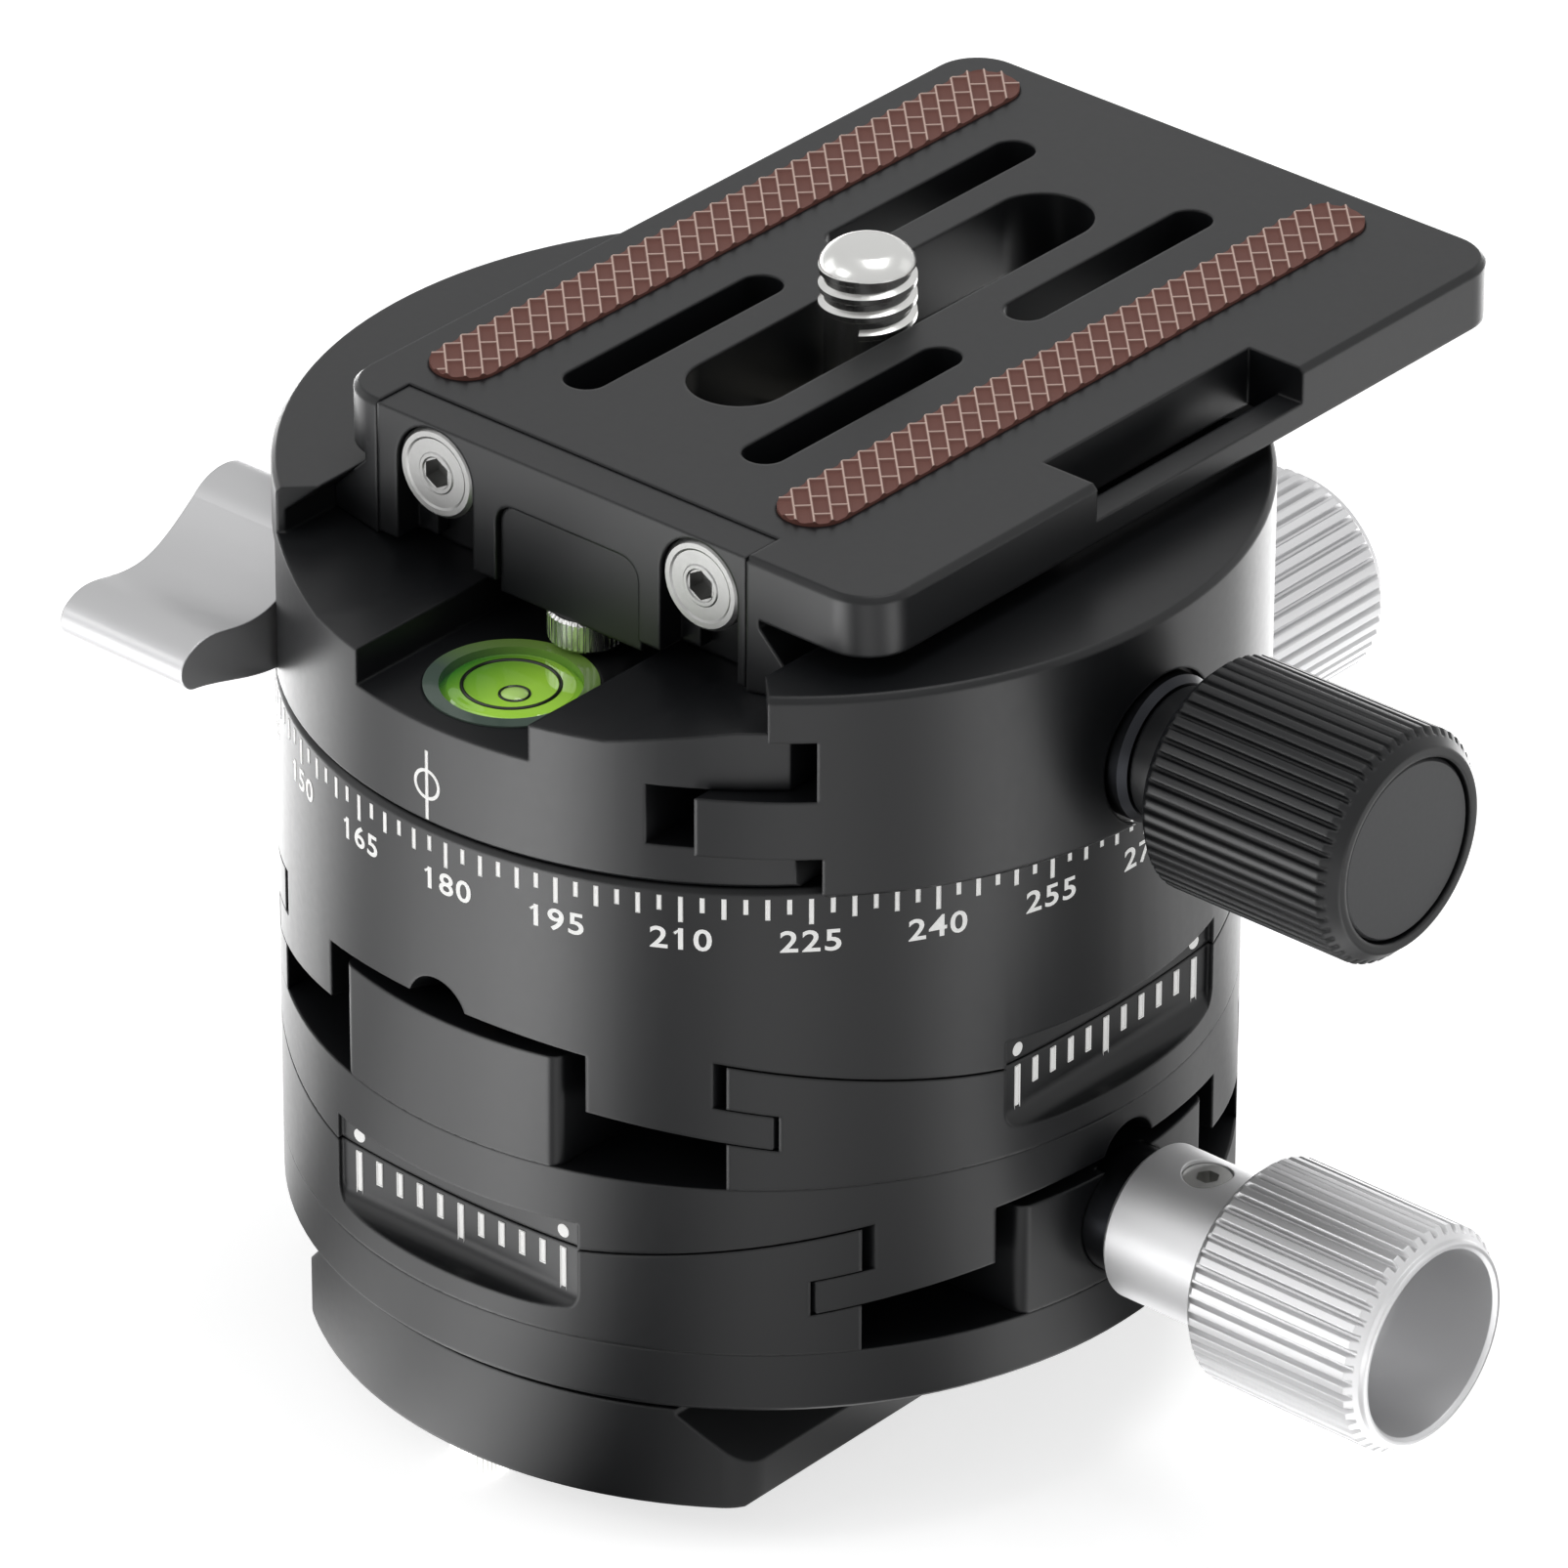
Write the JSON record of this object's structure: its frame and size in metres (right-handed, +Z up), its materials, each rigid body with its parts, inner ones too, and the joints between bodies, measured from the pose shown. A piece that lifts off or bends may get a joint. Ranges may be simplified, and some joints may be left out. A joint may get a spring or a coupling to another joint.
{
  "type": "geared tripod head",
  "caption": "Compact geared tripod head: two worm-driven arc tilt stages, a turning dovetail clamp with lock lever and level, and a sliding camera plate.",
  "frame": {"origin": "mouth of the tripod thread, in the middle of the underside of the foot", "axes": "+Z up through the pan axis, +X towards the clamp knob, +Y along the camera plate towards its long end"},
  "size_m": [0.0867, 0.0877, 0.0735],
  "materials": {
    "anodised_black": "satin black anodised",
    "anodised_silver": "bead blasted, clear anodised",
    "stainless": "turned stainless steel",
    "tool_steel": "blackened steel",
    "bronze": "oiled bronze",
    "grip_rubber": "brown rubber with a woven top",
    "nylon": "natural nylon",
    "vial_ring": "clear plastic ring",
    "vial_fluid": "lime green level fluid",
    "knob_cap": "matt black plastic"
  },
  "bodies": {
    "base": {"bottom_plate": "anodised_black", "bottom_stop_screws": "stainless", "foot_screws": "tool_steel", "base_disc": "anodised_black", "lower_rail_front": "anodised_black", "lower_rail_rear": "anodised_black", "lower_stage_screws": "tool_steel", "lower_worm_housing": "anodised_black", "lower_worm_bushes": "tool_steel"},
    "lower_drive": {"lower_worm_shaft": "tool_steel", "lower_knob": "anodised_silver", "lower_knob_screw": "stainless"},
    "middle": {"middle_body": "anodised_black", "lower_rack": "bronze", "upper_rail_right": "anodised_black", "upper_rail_left": "anodised_black", "upper_stage_screws": "tool_steel", "upper_worm_housing": "anodised_black", "upper_worm_bushes": "tool_steel"},
    "upper_drive": {"upper_worm_shaft": "tool_steel", "upper_knob": "anodised_silver", "upper_knob_screw": "stainless"},
    "pan_base": {"drum": "anodised_black", "upper_rack": "bronze", "pan_washers": "nylon", "pan_retainer": "tool_steel"},
    "turntable": {"clamp_body": "anodised_black", "pan_spindle": "tool_steel", "pan_screws": "tool_steel", "jaw_guide_pins": "stainless", "jaw_springs": "stainless", "pan_lever_screw": "stainless", "pan_brake_shoe": "nylon", "level_housing": "vial_ring", "level_vial": "vial_fluid"},
    "lever": {"pan_lever": "anodised_silver"},
    "moving_jaw": {"jaw": "anodised_black"},
    "clamp_drive": {"clamp_knob": "anodised_black", "clamp_knob_cap": "knob_cap", "clamp_screw": "stainless", "clamp_washer": "stainless"},
    "plate": {"camera_plate": "anodised_black", "grip_left": "grip_rubber", "grip_right": "grip_rubber", "stop_lip_screws": "stainless", "plate_stop_screws": "stainless"},
    "lip": {"stop_lip": "anodised_black"},
    "screw_slider": {"camera_screw_washer": "nylon"},
    "camera_bolt": {"camera_screw": "stainless"}
  },
  "joints": [
    {"name": "lower_knob_turn", "type": "hinge", "parent": "base", "child": "lower_drive", "pos_m": [0, 0, 0.0167], "axis": [1, 0, 0], "range_deg": [-2100, 2100]},
    {"name": "lower_tilt", "type": "hinge", "parent": "base", "child": "middle", "pos_m": [0, 0, 0.1183], "axis": [0, 1, 0], "range_deg": [-10, 10]},
    {"name": "upper_knob_turn", "type": "hinge", "parent": "middle", "child": "upper_drive", "pos_m": [0, 0, 0.0289], "axis": [0, 1, 0], "range_deg": [-2100, 2100]},
    {"name": "upper_tilt", "type": "hinge", "parent": "middle", "child": "pan_base", "pos_m": [0, 0, 0.1305], "axis": [-1, 0, 0], "range_deg": [-10, 10]},
    {"name": "pan", "type": "hinge", "parent": "pan_base", "child": "turntable", "pos_m": [0, 0, 0.0463], "axis": [0, 0, 1], "continuous": true},
    {"name": "pan_lever_swing", "type": "hinge", "parent": "turntable", "child": "lever", "pos_m": [-0.02575, -0.0168, 0.0512], "axis": [-1, 0, 0], "range_deg": [0, 35]},
    {"name": "clamp_knob_turn", "type": "hinge", "parent": "moving_jaw", "child": "clamp_drive", "pos_m": [0.0331, 0, 0.0512], "axis": [1, 0, 0], "range_deg": [-738, 360]},
    {"name": "jaw_slide", "type": "slide", "parent": "turntable", "child": "moving_jaw", "axis": [1, 0, 0], "range_m": [-0.00205, 0.001]},
    {"name": "plate_slide", "type": "slide", "parent": "turntable", "child": "plate", "axis": [0, 1, 0], "range_m": [-0.024, 0]},
    {"name": "lip_slide", "type": "slide", "parent": "plate", "child": "lip", "axis": [0, 0, 1], "range_m": [0, 0.0055]},
    {"name": "camera_screw_slide", "type": "slide", "parent": "plate", "child": "screw_slider", "axis": [0, 1, 0], "range_m": [-0.0124, 0.0172]},
    {"name": "camera_screw_turn", "type": "hinge", "parent": "screw_slider", "child": "camera_bolt", "pos_m": [0, 0.0103, 0.0662], "axis": [0, 0, 1], "continuous": true}
  ],
  "couplings": [
    {"joint": "lower_knob_turn", "follows": "lower_tilt", "ratio": 210},
    {"joint": "upper_knob_turn", "follows": "upper_tilt", "ratio": 210},
    {"joint": "clamp_knob_turn", "follows": "jaw_slide", "rad_per_m": 6283.2}
  ]
}
